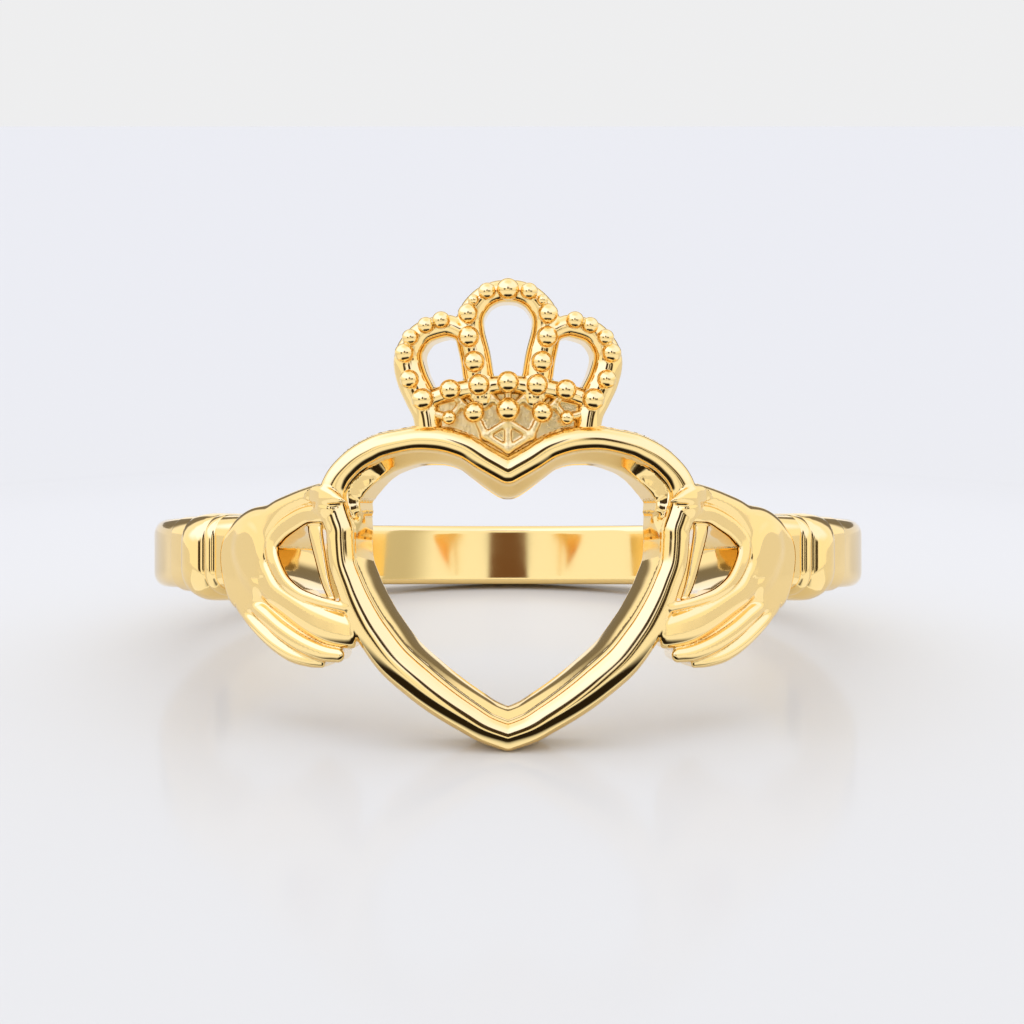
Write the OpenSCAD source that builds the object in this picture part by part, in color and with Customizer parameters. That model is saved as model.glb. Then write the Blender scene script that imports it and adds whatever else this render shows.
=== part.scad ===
// Claddagh ring: an open crowned heart held by two hands, cast in one piece of yellow gold.
// The ring is drawn upright on its finger axis, with the heart towards -Y, and is then
// laid down as it rests by itself: on the tip of the heart and on the back of the band.

/* [Band] */
// Inside diameter of the band, where the finger goes
bore_d = 17.75; // [17:0.05:18.6]
// Thickness of the band
band_t = 1.43; // [1.25:0.01:1.7]
// Width of the band along the finger
band_w = 1.93; // [1.7:0.01:2.2]
// Radius on the band's outer edges
band_edge = 0.4; // [0.25:0.01:0.5]

/* [Cuffs] */
// Length of the smooth sleeve at each cuff, along the band
sleeve_l = 0.95; // [0.7:0.05:1.3]
// How far the sleeve stands out from the band
sleeve_h = 0.1; // [0.06:0.01:0.16]
// Length of the round ridge of each cuff
ridge_l = 1.22; // [0.9:0.02:1.5]
// How far the round ridge stands out from the band
ridge_h = 0.34; // [0.22:0.01:0.45]
// Length of the narrow ridge between the round ridge and the hand
lip_l = 0.42; // [0.3:0.02:0.6]
// How far the narrow ridge stands out from the band
lip_h = 0.2; // [0.12:0.01:0.28]

/* [Heart] */
// Width of the heart over its outer edges
heart_w = 9.2; // [8.6:0.05:9.8]
// Height of the heart from the top of its lobes to its tip
heart_h = 8.02; // [7.6:0.02:8.5]
// Height of the lobes above the middle of the band
heart_rise = 3.07; // [2.8:0.01:3.3]
// Distance from the finger axis to the front of the heart
heart_front = 11.7; // [11.3:0.05:12.1]
// Depth of the heart's frame, front to back
heart_t = 1.7; // [1.5:0.05:1.9]
// Width of the rounded front of the heart's frame
wire_w = 0.74; // [0.62:0.01:0.8]
// Width of the sloped inner wall behind the rounded front
wall_w = 0.2; // [0.14:0.01:0.26]
// Radius to which heart and crown bend round the finger
front_bend = 18; // [16:0.5:24]

/* [Crown] */
// Width of the crown over its side arches
crown_w = 5.9; // [5.5:0.05:6.3]
// Height of the crown above the cleft of the heart
crown_h = 4.34; // [4:0.02:4.7]
// Depth of the crown, front to back
crown_t = 1.15; // [1:0.05:1.3]
// How far the arches lie behind the front of the heart
crown_set = 0.2; // [0.15:0.01:0.3]
// How far the crown's floor lies behind its arches
floor_set = 0.22; // [0.16:0.01:0.3]
// Diameter of the largest grains
bead_d = 0.54; // [0.48:0.01:0.58]
// Width of the thin ridges on the floor
vein_w = 0.17; // [0.12:0.01:0.22]

/* [Hands] */
// Length of each hand along the band, from the side of the heart to the wrist
hand_l = 4.8; // [4.6:0.05:5.1]
// Height of the hand where it holds the heart
hand_h = 4.75; // [4.5:0.05:5]
// Width of a finger
finger_w = 0.54; // [0.48:0.01:0.6]
// How far the hand stands out from the band at the heart
hand_rise = 1.25; // [1.05:0.05:1.4]

/* [Hidden] */
bore_r = bore_d / 2;
band_r = bore_r + band_t;
wire_r = wire_w / 2;
deg = 180 / PI;
// How far every form reaches inside the finger hole before the hole is cut
root = 0.35;
// How far the cuffs stop from the finger hole
cuff_gap = 0.12;

// Angles round the finger, from the front
heart_edge = heart_w / 2 / front_bend * deg;
heart_side = atan2(front_bend * sin(heart_edge), heart_front - front_bend * (1 - cos(heart_edge)));
hand_turn = hand_l / band_r * deg;
wrist = heart_side + hand_turn;

// Lean at rest, from the heart's tip and the rounded edge at the back of the band
tip_low = heart_h - heart_rise;
tip_y = heart_front - wire_r;
stand_y = tip_y + band_r - band_edge;
stand_z = tip_low - band_w / 2 + band_edge;
lean = atan2(stand_z, stand_y) - asin(band_edge / norm([stand_y, stand_z]));
lift = tip_low * cos(lean) - tip_y * sin(lean);
front_reach = tip_y * cos(lean) + (tip_low - wire_r) * sin(lean) + wire_r;
back_reach = (band_r - band_edge) * cos(lean) + (band_w / 2 - band_edge) * sin(lean) + band_edge;

// Half of the heart's crest line, from the cleft over the lobe to the tip.
// Shares of the crest line's half width and height, measured from the middle of the lobe tops.
// across, up, handle back across, handle back up, handle on across, handle on up
HEART_KNOTS = [
    [0.00, -0.111, 0.000, 0.000, 0.300, 0.166],
    [0.55, 0.000, -0.050, 0.000, 0.450, 0.000],
    [1.00, -0.277, 0.000, 0.170, 0.000, -0.329],
    [0.00, -1.000, 0.800, 0.172, 0.000, 0.000],
];
heart_steps = 12;
fan_steps = 4;

// Cross-section of the heart's frame: distance outwards from the crest line, depth from the front
heart_section = concat(
    [for (a = [0:30:180]) wire_r * [cos(a), 1 - sin(a)]],
    [
        [-wire_r - wall_w * 0.7, wire_r + heart_t * 0.18],
        [-wire_r - wall_w, heart_t],
        [wire_r - heart_t * 0.2, heart_t],
    ]
);

// The hand, a row of sections round its opening from the tips of the lower fingers by way of the
// wrist to the tip of the thumb. Five places across each section, from the edge of the opening
// to the outline of the hand: edge, side of the forefinger, next crease, last crease, outline.
// Each is a share of the hand's length from the heart and of its height above mid-band
HAND = [
    [[-0.150, -0.275], [-0.170, -0.379], [-0.150, -0.465], [-0.080, -0.540], [-0.050, -0.570]],
    [[-0.130, -0.262], [-0.155, -0.379], [-0.130, -0.478], [-0.055, -0.556], [-0.025, -0.588]],
    [[-0.070, -0.255], [-0.080, -0.370], [-0.060, -0.484], [0.010, -0.566], [0.030, -0.602]],
    [[0.020, -0.240], [0.000, -0.356], [0.020, -0.476], [0.090, -0.562], [0.110, -0.611]],
    [[0.120, -0.212], [0.120, -0.326], [0.150, -0.438], [0.230, -0.524], [0.250, -0.589]],
    [[0.230, -0.168], [0.250, -0.274], [0.290, -0.381], [0.360, -0.478], [0.400, -0.543]],
    [[0.310, -0.126], [0.380, -0.206], [0.430, -0.309], [0.520, -0.406], [0.570, -0.471]],
    [[0.360, -0.080], [0.460, -0.133], [0.560, -0.232], [0.640, -0.337], [0.710, -0.400]],
    [[0.385, -0.035], [0.515, -0.065], [0.660, -0.145], [0.770, -0.245], [0.860, -0.310]],
    [[0.393, -0.005], [0.530, -0.015], [0.720, -0.070], [0.870, -0.160], [0.990, -0.258]],
    [[0.392, 0.025], [0.532, 0.030], [0.760, 0.000], [0.930, -0.045], [1.075, -0.090]],
    [[0.376, 0.056], [0.515, 0.078], [0.740, 0.068], [0.920, 0.056], [1.075, 0.045]],
    [[0.338, 0.088], [0.465, 0.124], [0.670, 0.128], [0.850, 0.130], [0.980, 0.155]],
    [[0.275, 0.120], [0.380, 0.168], [0.540, 0.184], [0.700, 0.194], [0.820, 0.190]],
    [[0.200, 0.142], [0.275, 0.202], [0.360, 0.230], [0.460, 0.248], [0.550, 0.254]],
    [[0.130, 0.150], [0.170, 0.224], [0.220, 0.257], [0.280, 0.284], [0.330, 0.300]],
    [[0.040, 0.150], [0.060, 0.246], [0.090, 0.276], [0.120, 0.310], [0.150, 0.338]],
    [[-0.060, 0.150], [-0.030, 0.268], [-0.010, 0.296], [0.010, 0.328], [0.030, 0.362]],
    [[-0.130, 0.156], [-0.110, 0.254], [-0.100, 0.282], [-0.090, 0.310], [-0.080, 0.334]],
];
// For the same sections, how far each of the five places lies under the hand's surface, and how
// far the whole section is sunk, as shares of the finger width
HAND_DEPTHS = [
    [0.25, 0.04, 0.10, 0.10, 0.25, 0.95],
    [0.40, 0.10, 0.28, 0.30, 0.45, 0.35],
    [0.50, 0.14, 0.42, 0.42, 0.60, 0.05],
    [0.50, 0.16, 0.48, 0.46, 0.60, 0.00],
    [0.50, 0.18, 0.48, 0.46, 0.60, 0.00],
    [0.50, 0.20, 0.46, 0.46, 0.60, 0.00],
    [0.50, 0.22, 0.44, 0.44, 0.60, 0.00],
    [0.50, 0.24, 0.36, 0.36, 0.60, 0.00],
    [0.50, 0.26, 0.16, 0.18, 0.60, 0.00],
    [0.50, 0.26, 0.02, 0.04, 0.60, 0.00],
    [0.50, 0.26, 0.00, 0.00, 0.30, 0.00],
    [0.50, 0.26, 0.00, 0.00, 0.30, 0.00],
    [0.50, 0.26, 0.00, 0.00, 0.50, 0.00],
    [0.50, 0.26, 0.00, 0.00, 0.60, 0.00],
    [0.50, 0.24, 0.00, 0.00, 0.60, 0.00],
    [0.50, 0.22, 0.00, 0.00, 0.60, 0.00],
    [0.50, 0.20, 0.00, 0.00, 0.55, -0.05],
    [0.50, 0.10, 0.00, 0.00, 0.50, -0.20],
    [0.40, 0.00, 0.00, 0.00, 0.40, -0.10],
];
hand_steps = 2;
// Places between two of the five where a section has points
across = [0, 0.12, 0.35, 0.65, 0.88];

// The bar beside the heart, in the opening: places in the same shares
BAR = [[0.066, 0.190], [0.070, 0.060], [0.046, -0.060], [0.008, -0.190], [-0.032, -0.290]];
// Width of the bar as a share of the finger width
bar_share = 0.9;

// Arches of the crown. Share of the half width, share of the height above the cleft, and width
// as a share of the crown's height
CENTRE_ARCH = [
    [0.235, 0.330, 0.160],
    [0.252, 0.422, 0.184],
    [0.284, 0.560, 0.184],
    [0.329, 0.698, 0.176],
    [0.319, 0.802, 0.160],
    [0.232, 0.887, 0.140],
    [0.119, 0.930, 0.132],
    [0.000, 0.938, 0.128],
];
SIDE_ARCH = [
    [0.360, 0.694, 0.104],
    [0.470, 0.732, 0.126],
    [0.562, 0.739, 0.132],
    [0.727, 0.706, 0.140],
    [0.833, 0.633, 0.156],
    [0.872, 0.546, 0.178],
    [0.838, 0.440, 0.188],
    [0.765, 0.335, 0.190],
    [0.708, 0.237, 0.172],
    [0.680, 0.110, 0.166],
];
FOOT_RIM = [
    [-0.700, 0.315, 0.100],
    [-0.488, 0.359, 0.122],
    [-0.237, 0.382, 0.122],
    [0.000, 0.403, 0.126],
    [0.237, 0.382, 0.122],
    [0.488, 0.359, 0.122],
    [0.700, 0.315, 0.100],
];
arch_steps = 2;

// Outline of one half of the crown's floor, shares of the crown's half width and height
FLOOR = [[0, -0.05], [0.72, 0.10], [0.74, 0.33], [0.49, 0.36], [0, 0.40]];

// Grains of one half of the crown. Shares of the half width and of the height above the cleft,
// diameter as a share of the largest grain, and depth: 0 on an arch, 1 on the floor
GRAINS = [
    [0.000, 0.940, 0.92, 0],
    [0.176, 0.928, 0.72, 0],
    [0.292, 0.880, 0.46, 0],
    [0.336, 0.802, 0.84, 0],
    [0.330, 0.670, 0.90, 0],
    [0.285, 0.528, 0.90, 0],
    [0.245, 0.396, 0.90, 0],
    [0.000, 0.412, 0.92, 0],
    [0.488, 0.368, 0.88, 0],
    [0.563, 0.765, 0.74, 0],
    [0.692, 0.736, 0.70, 0],
    [0.824, 0.668, 0.70, 0],
    [0.874, 0.580, 0.82, 0],
    [0.832, 0.430, 0.80, 0],
    [0.720, 0.315, 0.92, 0],
    [0.000, 0.258, 1.00, 1],
    [0.290, 0.242, 0.88, 1],
    [0.500, 0.212, 0.60, 1],
];

// Thin ridges on one half of the crown's floor, from point to point, in the same shares
VEINS = [
    [[0.245, 0.396], [0.290, 0.242]],
    [[0.000, 0.412], [0.000, 0.258]],
    [[0.000, 0.258], [0.130, 0.320]],
    [[0.130, 0.320], [0.245, 0.396]],
    [[0.130, 0.320], [0.290, 0.242]],
    [[0.488, 0.368], [0.400, 0.290]],
    [[0.400, 0.290], [0.290, 0.242]],
    [[0.400, 0.290], [0.500, 0.212]],
    [[0.500, 0.212], [0.720, 0.250]],
    [[0.000, 0.190], [0.196, 0.110]],
    [[0.196, 0.110], [0.000, 0.030]],
    [[0.196, 0.110], [0.290, 0.242]],
    [[0.000, 0.258], [0.000, 0.030]],
];

// A point round the finger: angle from the front, radius and height
function round_pt(angle, r, z) = [r * sin(angle), -r * cos(angle), z];

// A point on the bent sheet of heart and crown: distance across, height and depth
function sheet_pt(x, z, depth) =
    let (a = x / front_bend * deg, r = front_bend - depth)
        [r * sin(a), front_bend - heart_front - r * cos(a), z];

// A point on a Bezier curve through four points, and its direction
function bezier(p, q, r, s, t) =
    pow(1 - t, 3) * p + 3 * pow(1 - t, 2) * t * q + 3 * (1 - t) * t * t * r + t * t * t * s;
function bezier_way(p, q, r, s, t) =
    let (d = pow(1 - t, 2) * (q - p) + 2 * (1 - t) * t * (r - q) + t * t * (s - r)) d / norm(d);

// Rows of a table with smooth rows between them
function between(a, b, c, d, t) =
    0.5 * (2 * b + (c - a) * t + (2 * a - 5 * b + 4 * c - d) * t * t
        + (3 * b - a - 3 * c + d) * t * t * t);
function smooth(rows, steps) =
    let (n = len(rows) - 1)
        [for (i = [0:n * steps])
            let (k = min(floor(i / steps), n - 1), t = i / steps - k)
                between(rows[max(k - 1, 0)], rows[k], rows[k + 1], rows[min(k + 2, n)], t)];

// Direction of a line of points at one of them
function way(points, i) =
    let (d = points[min(i + 1, len(points) - 1)] - points[max(i - 1, 0)]) d / norm(d);

// Height of a round ridge of a given length at a place along it
function ridge(s, from, l, h) =
    let (u = 2 * (s - from) / l - 1) abs(u) < 1 ? h * sqrt(1 - u * u) : 0;

// Solid through a row of rings of points. A closed row has no ends.
module skin(rings, closed = false) {
    count = len(rings[0]);
    last = len(rings) - 1;
    sides = [
        for (i = [0:(closed ? last : last - 1)], j = [0:count - 1])
            let (a = i * count, b = ((i + 1) % (last + 1)) * count, k = (j + 1) % count)
                each [[a + j, a + k, b + j], [a + k, b + k, b + j]]
    ];
    ends = closed ? [] : [
        [for (j = [count - 1:-1:0]) j],
        [for (j = [0:count - 1]) last * count + j],
    ];
    polyhedron(points = [for (r = rings) each r], faces = concat(sides, ends));
}

// The same form on the right and on the left
module both_sides() {
    children();
    mirror([1, 0, 0]) children();
}

// Outer surface of the hand, by share of its length from the heart
function hand_r(share) = band_r + lip_h / 2 + hand_rise * pow(max(1 - share, 0), 1.3);

// A point of the hand. Its sides run straight back at the heart and turn towards the finger's
// axis on the way to the wrist.
function hand_pt(share, r, z) =
    let (
        angle = heart_side + share * hand_turn,
        back = asin(min(hand_r(share) * sin(angle) / r, 1)),
        turned = min(max(share, 0), 1)
    )
        round_pt(back + (angle - back) * turned, r, z);

// Height of a rounded form at a place across it, 0 at its edges and 1 in its middle
function swell(u) = sqrt(1 - pow(2 * u - 1, 2));

module band() {
    from = wrist + (lip_l + ridge_l / 2) / band_r * deg;
    high = band_w / 2 - band_edge;
    far = band_r - band_edge;
    outline = concat(
        [[bore_r - root, -band_w / 2]],
        [for (a = [-90:22.5:0]) [far + band_edge * cos(a), band_edge * sin(a) - high]],
        [for (a = [0:22.5:90]) [far + band_edge * cos(a), band_edge * sin(a) + high]],
        [[bore_r - root, band_w / 2]]
    );
    color("gold") rotate([0, 0, from - 90])
        rotate_extrude(angle = 360 - 2 * from, $fn = 180) polygon(outline);
}

module hand() {
    places = smooth(HAND, hand_steps);
    depths = smooth(HAND_DEPTHS, hand_steps);
    inside = bore_r - root - 0.1;
    color("gold") skin([
        for (k = [len(places) - 1:-1:0])
            let (
                row = places[k],
                top = [
                    for (i = [0:3], u = across)
                        let (
                            p = row[i] + (row[i + 1] - row[i]) * u,
                            depth = depths[k][u < 0.5 ? i : i + 1] * (1 - swell(u)) + depths[k][5]
                        )
                            [p.x, hand_r(p.x) - depth * finger_w, p.y * hand_h]
                ],
                edge = [row[4].x, hand_r(row[4].x) - (depths[k][4] + depths[k][5]) * finger_w,
                    row[4].y * hand_h]
            )
                concat(
                    [hand_pt(row[0].x, inside, row[0].y * hand_h)],
                    [for (p = concat(top, [edge])) hand_pt(p[0], p[1], p[2])],
                    [hand_pt(row[4].x, inside, row[4].y * hand_h)]
                )
    ]);
}

module bar() {
    rows = smooth(BAR, 2);
    line = [for (p = rows) [p.x * hand_l, p.y * hand_h]];
    w = bar_share * finger_w / 2;
    color("gold") skin([
        for (i = [len(rows) - 1:-1:0])
            let (
                side = [-way(line, i).y, way(line, i).x],
                top = hand_r(rows[i].x) - finger_w * 0.15,
                outline = concat(
                    [[w, bore_r - root]],
                    [for (a = [0:45:180]) [w * cos(a), top - w * (1 - sin(a))]],
                    [[-w, bore_r - root]]
                )
            )
                [for (p = outline)
                    let (at = line[i] + side * p[0]) hand_pt(at.x / hand_l, p[1], at.y)]
    ]);
}

// Section across a cuff: angle from the front, outer radius, top, bottom and edge radius. It
// lies round the band and stops short of the finger hole.
function cuff_section(angle, r, top, bottom, edge) = concat(
    [round_pt(angle, bore_r + cuff_gap, bottom)],
    [for (a = [90:-22.5:0]) round_pt(angle, r - edge * (1 - cos(a)), bottom + edge * (1 - sin(a)))],
    [for (a = [0:22.5:90]) round_pt(angle, r - edge * (1 - cos(a)), top - edge * (1 - sin(a)))],
    [round_pt(angle, bore_r + cuff_gap, top)]
);

// Narrow ridge, round ridge and sleeve. It starts inside the wrist.
module cuff() {
    stops = concat(
        [for (i = [0:6]) lip_l * i / 6],
        [for (i = [1:9]) lip_l + ridge_l * i / 9],
        [for (i = [1:2]) lip_l + ridge_l + sleeve_l * i / 2]
    );
    color("gold") skin(concat(
        [cuff_section(wrist - lip_l / band_r * deg, band_r - band_edge, band_w * 0.3, -band_w * 0.3,
            band_edge / 2)],
        [
            for (s = stops)
                let (out = max(
                    ridge(s, 0, lip_l, lip_h),
                    ridge(s, lip_l, ridge_l, ridge_h),
                    s > lip_l + ridge_l ? sleeve_h : lip_h / 4
                ))
                    cuff_section(wrist + s / band_r * deg, band_r + out, band_w / 2 + out * 0.3,
                        -band_w / 2 - out, band_edge + out / 2)
        ]
    ));
}

// Crest line of the right half of the heart: point and direction
crest = [
    for (k = [0:2], i = [0:(k < 2 ? heart_steps - 1 : heart_steps)])
        let (
            size = [heart_w / 2 - wire_r, heart_h - wire_w],
            base = [0, heart_rise - wire_r],
            a = HEART_KNOTS[k],
            b = HEART_KNOTS[k + 1],
            p = [a[0] * size.x, a[1] * size.y] + base,
            q = [(a[0] + a[4]) * size.x, (a[1] + a[5]) * size.y] + base,
            r = [(b[0] + b[2]) * size.x, (b[1] + b[3]) * size.y] + base,
            s = [b[0] * size.x, b[1] * size.y] + base
        )
            [bezier(p, q, r, s, i / heart_steps), bezier_way(p, q, r, s, i / heart_steps)]
];
crest_end = len(crest) - 1;

// Where a line of points crosses the middle of the ring
function crossing(a, b) = [0, a.y + (b.y - a.y) * a.x / (a.x - b.x)];

// The line at a distance outwards from the crest line. On one side of the cleft and of the tip it
// turns round them, or on the inner wall meets in a point. On the other side it meets its mirror
// image in a sharp corner.
function heart_line(out) =
    let (
        cleft = crest[0],
        tip = crest[crest_end],
        cleft_turn = atan2(cleft[1].y, cleft[1].x),
        tip_turn = atan2(-tip[1].y, -tip[1].x),
        line = [for (c = crest) c[0] + out * [-c[1].y, c[1].x]],
        right = [for (i = [1:crest_end]) if (line[i - 1].x < 0 && line[i].x >= 0) i],
        left = [for (i = [1:crest_end]) if (line[i - 1].x >= 0 && line[i].x < 0) i],
        start = out > 0 ? crossing(line[right[0] - 1], line[right[0]]) : [0, 0],
        end = out < 0 ? crossing(line[left[0] - 1], line[left[0]]) : [0, 0]
    )
        [
            for (i = [0:fan_steps - 1])
                let (a = cleft_turn * i / fan_steps, far = out / (out < -wire_r ? cos(cleft_turn - a) : 1))
                    out > 0 ? start : cleft[0] + far * [i == 0 ? 0 : -sin(a), cos(a)],
            for (p = line) p.x >= 0 ? p : out > 0 ? start : end,
            for (i = [fan_steps - 1:-1:0])
                let (a = tip_turn * i / fan_steps)
                    out < 0 ? end : tip[0] + out * [i == 0 ? 0 : sin(a), -cos(a)],
        ];

module heart() {
    half = [for (p = heart_section) heart_line(p[0])];
    n = len(half[0]);
    loop = [
        for (line = half)
            concat(line, [for (i = [n - 2:-1:1]) [0 - line[i].x, line[i].y]])
    ];
    color("gold") skin([
        for (i = [0:2 * n - 3])
            [for (j = [len(heart_section) - 1:-1:0])
                sheet_pt(loop[j][i].x, loop[j][i].y, heart_section[j][1])]
    ], closed = true);
}

// A rounded strip on the crown's sheet, through rows of place and width
module strip(rows, front, back) {
    points = [for (row = rows) [row[0], row[1]]];
    color("gold") skin([
        for (i = [0:len(rows) - 1])
            let (
                w = rows[i][2] / 2,
                side = [-way(points, i).y, way(points, i).x],
                cap = min(w, back - front),
                outline = concat(
                    [for (a = [180:-45:0]) [w * cos(a), front + cap * (1 - sin(a)) * 0.8]],
                    [[w, back], [-w, back]]
                )
            )
                [for (p = outline)
                    let (at = points[i] + side * p[0]) sheet_pt(at.x, at.y, p[1])]
    ]);
}

cleft_z = heart_line(wire_r)[0].y;

// A place on the crown from its shares of half width and height
function crown_at(p) = [p[0] * crown_w / 2, cleft_z + p[1] * crown_h];

// The rows of an arch in millimetres, with smooth rows between them
function arch_rows(rows) = [
    for (row = smooth(rows, arch_steps)) concat(crown_at(row), [row[2] * crown_h])
];

module arches() {
    half = arch_rows(CENTRE_ARCH);
    n = len(half);
    strip(concat(half, [for (i = [n - 2:-1:0]) [-half[i][0], half[i][1], half[i][2]]]),
        crown_set, crown_set + crown_t);
    both_sides() strip(arch_rows(SIDE_ARCH), crown_set + 0.02, crown_set + crown_t - 0.03);
    strip(arch_rows(FOOT_RIM), crown_set + 0.05, crown_set + crown_t - 0.06);
}

// A flat outline carried back through the crown, between two depths of its bent sheet
module bent(front, back) {
    color("gold") intersection() {
        rotate([90, 0, 0]) linear_extrude(2 * heart_front) children();
        translate([0, front_bend - heart_front, 0]) difference() {
            cylinder(r = front_bend - front, h = 4 * crown_h, center = true, $fn = 180);
            cylinder(r = front_bend - back, h = 5 * crown_h, center = true, $fn = 180);
        }
    }
}

// The recessed floor under the arches
module crown_floor() {
    half = [for (p = FLOOR) crown_at(p)];
    bent(crown_set + floor_set, crown_set + crown_t - 0.09)
        polygon(concat(half, [for (i = [len(half) - 2:-1:1]) [-half[i].x, half[i].y]]));
}

module vein(from, to) {
    along = to - from;
    side = [-along.y, along.x] * vein_w / 2 / norm(along);
    polygon([from + side, from - side, to - side, to + side]);
}

// The thin ridges between the grains
module veins() {
    bent(crown_set + floor_set - vein_w, crown_set + floor_set * 2)
        for (v = VEINS, side = [-1, 1]) {
            ends = [for (p = v) let (at = crown_at(p)) [side * at.x, at.y]];
            vein(ends[0], ends[1]);
        }
}

module grains() {
    color("gold") for (g = GRAINS) {
        at = crown_at(g);
        depth = crown_set - 0.06 + g[3] * floor_set * 0.7;
        for (side = g[0] > 0 ? [-1, 1] : [1])
            translate(sheet_pt(side * at.x, at.y, depth)) sphere(d = g[2] * bead_d, $fn = 24);
    }
}

module ring() {
    translate([0, (front_reach - back_reach) / 2, lift]) rotate([-lean, 0, 0]) {
        difference() {
            union() {
                band();
                both_sides() {
                    cuff();
                    hand();
                    bar();
                }
                heart();
                arches();
                crown_floor();
                veins();
                grains();
            }
            cylinder(r = bore_r, h = 4 * heart_h, center = true, $fn = 180);
        }
    }
}

ring();
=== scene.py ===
"""Polished yellow gold claddagh ring, lying on its side on a pale glossy surface."""

import math

import bpy
import numpy as np
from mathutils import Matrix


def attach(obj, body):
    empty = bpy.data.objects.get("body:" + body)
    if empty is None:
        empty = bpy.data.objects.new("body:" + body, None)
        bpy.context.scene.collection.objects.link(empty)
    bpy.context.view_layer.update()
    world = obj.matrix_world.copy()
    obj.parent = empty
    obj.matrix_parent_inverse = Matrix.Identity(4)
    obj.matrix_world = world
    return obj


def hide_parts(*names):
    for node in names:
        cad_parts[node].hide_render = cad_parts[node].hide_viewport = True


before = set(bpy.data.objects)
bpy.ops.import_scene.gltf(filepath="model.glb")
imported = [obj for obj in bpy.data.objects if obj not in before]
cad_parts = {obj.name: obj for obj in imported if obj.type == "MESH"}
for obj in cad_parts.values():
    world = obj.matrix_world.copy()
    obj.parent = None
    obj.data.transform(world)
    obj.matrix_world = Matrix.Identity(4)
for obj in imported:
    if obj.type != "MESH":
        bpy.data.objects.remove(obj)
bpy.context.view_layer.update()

# Sizes of the part, in millimetres, as in its source
BORE_R = 8.875
BAND_T = 1.43
BAND_W = 1.93
BAND_EDGE = 0.4
SLEEVE_L, SLEEVE_H = 0.95, 0.1
RIDGE_L, RIDGE_H = 1.22, 0.34
LIP_L, LIP_H = 0.42, 0.2
HEART_W, HEART_H, HEART_RISE = 9.2, 8.02, 3.07
HEART_FRONT, HEART_T = 11.7, 1.7
WIRE_W = 0.74
BEND = 18.0
CROWN_W, CROWN_H, CROWN_T = 5.9, 4.34, 1.15
CROWN_SET, FLOOR_SET = 0.2, 0.22
BEAD_D = 0.54
HAND_L, HAND_RISE = 4.8, 1.25

BAND_R = BORE_R + BAND_T
WIRE_R = WIRE_W / 2
edge_turn = HEART_W / 2 / BEND
HEART_SIDE = math.atan2(BEND * math.sin(edge_turn), HEART_FRONT - BEND * (1 - math.cos(edge_turn)))
HAND_TURN = HAND_L / BAND_R
WRIST = HEART_SIDE + HAND_TURN

# How the ring rests: lean, lift and shift, worked out as in the source
tip_low = HEART_H - HEART_RISE
tip_y = HEART_FRONT - WIRE_R
stand_y = tip_y + BAND_R - BAND_EDGE
stand_z = tip_low - BAND_W / 2 + BAND_EDGE
LEAN = math.atan2(stand_z, stand_y) - math.asin(BAND_EDGE / math.hypot(stand_y, stand_z))
LIFT = tip_low * math.cos(LEAN) - tip_y * math.sin(LEAN)
front_reach = tip_y * math.cos(LEAN) + (tip_low - WIRE_R) * math.sin(LEAN) + WIRE_R
back_reach = (BAND_R - BAND_EDGE) * math.cos(LEAN) + (BAND_W / 2 - BAND_EDGE) * math.sin(LEAN) + BAND_EDGE
SHIFT = (front_reach - back_reach) / 2


MM = 0.001


def turn_to_row(vectors):
    """Directions of the upright ring as they lie in the row frame."""
    x, y, z = vectors[:, 0], vectors[:, 1], vectors[:, 2]
    c, s = math.cos(LEAN), math.sin(LEAN)
    return np.stack([x, y * c + z * s, z * c - y * s], 1)


def to_row(points):
    """Points of the upright ring, in millimetres, as they lie in the row frame, in metres."""
    return (turn_to_row(points) + [0, SHIFT, LIFT]) * MM


# Paths: rows of a table with a smooth cubic curve between them. A grid of first guesses, with this
# step and this much room round the curve, starts the search for the nearest place.

GUESS_STEP, GUESS_ROOM = 0.03, 1.2


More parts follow.
